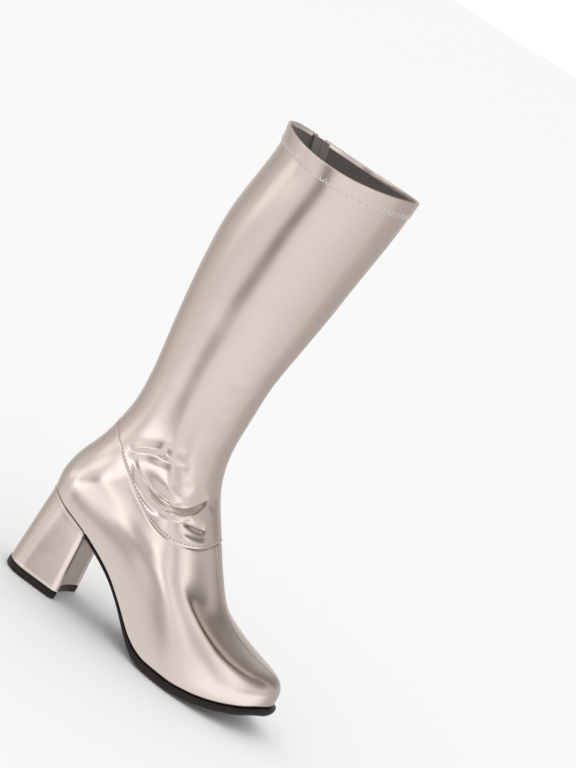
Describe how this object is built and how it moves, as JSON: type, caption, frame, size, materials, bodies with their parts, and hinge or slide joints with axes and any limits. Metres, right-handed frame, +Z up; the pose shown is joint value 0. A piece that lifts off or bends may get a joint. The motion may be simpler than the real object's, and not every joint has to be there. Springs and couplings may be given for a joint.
{
  "type": "go go boot",
  "caption": "Right knee-high go go boot with a metallic silver upper, round toe, flared block heel and an inner zip with a hinged pull tab.",
  "frame": {"origin": "centre of the heel's bottom face, on the floor that the heel and the ball stand on", "axes": "+Z up, +X to the toe, +Y to the inner (medial) side of the foot, where the zip is"},
  "size_m": [0.2458, 0.107, 0.4182],
  "materials": {
    "silver_foil": "silver metallic foil, glossy, soft reflections",
    "black_rubber": "semi-matt black",
    "sock": "matt beige sock",
    "zip_tape": "matt woven grey-brown tape",
    "zip_nylon": "satin nylon",
    "zip_metal": "polished metal"
  },
  "bodies": {
    "boot": {"upper": "silver_foil", "outsole": "black_rubber", "insole": "sock", "heel_block": "silver_foil", "heel_lift": "black_rubber", "zip_tape_front": "zip_tape", "zip_tape_back": "zip_tape", "zip_chain": "zip_nylon", "zip_slider": "zip_metal"},
    "pull_tab": {"zip_pull": "zip_metal"}
  },
  "joints": [
    {"name": "zip_pull_hinge", "type": "hinge", "parent": "boot", "child": "pull_tab", "pos_m": [-0.00307, 0.04029, 0.40773], "axis": [0.705, 0.6572, 0.2664], "range_deg": [0, 165]}
  ]
}
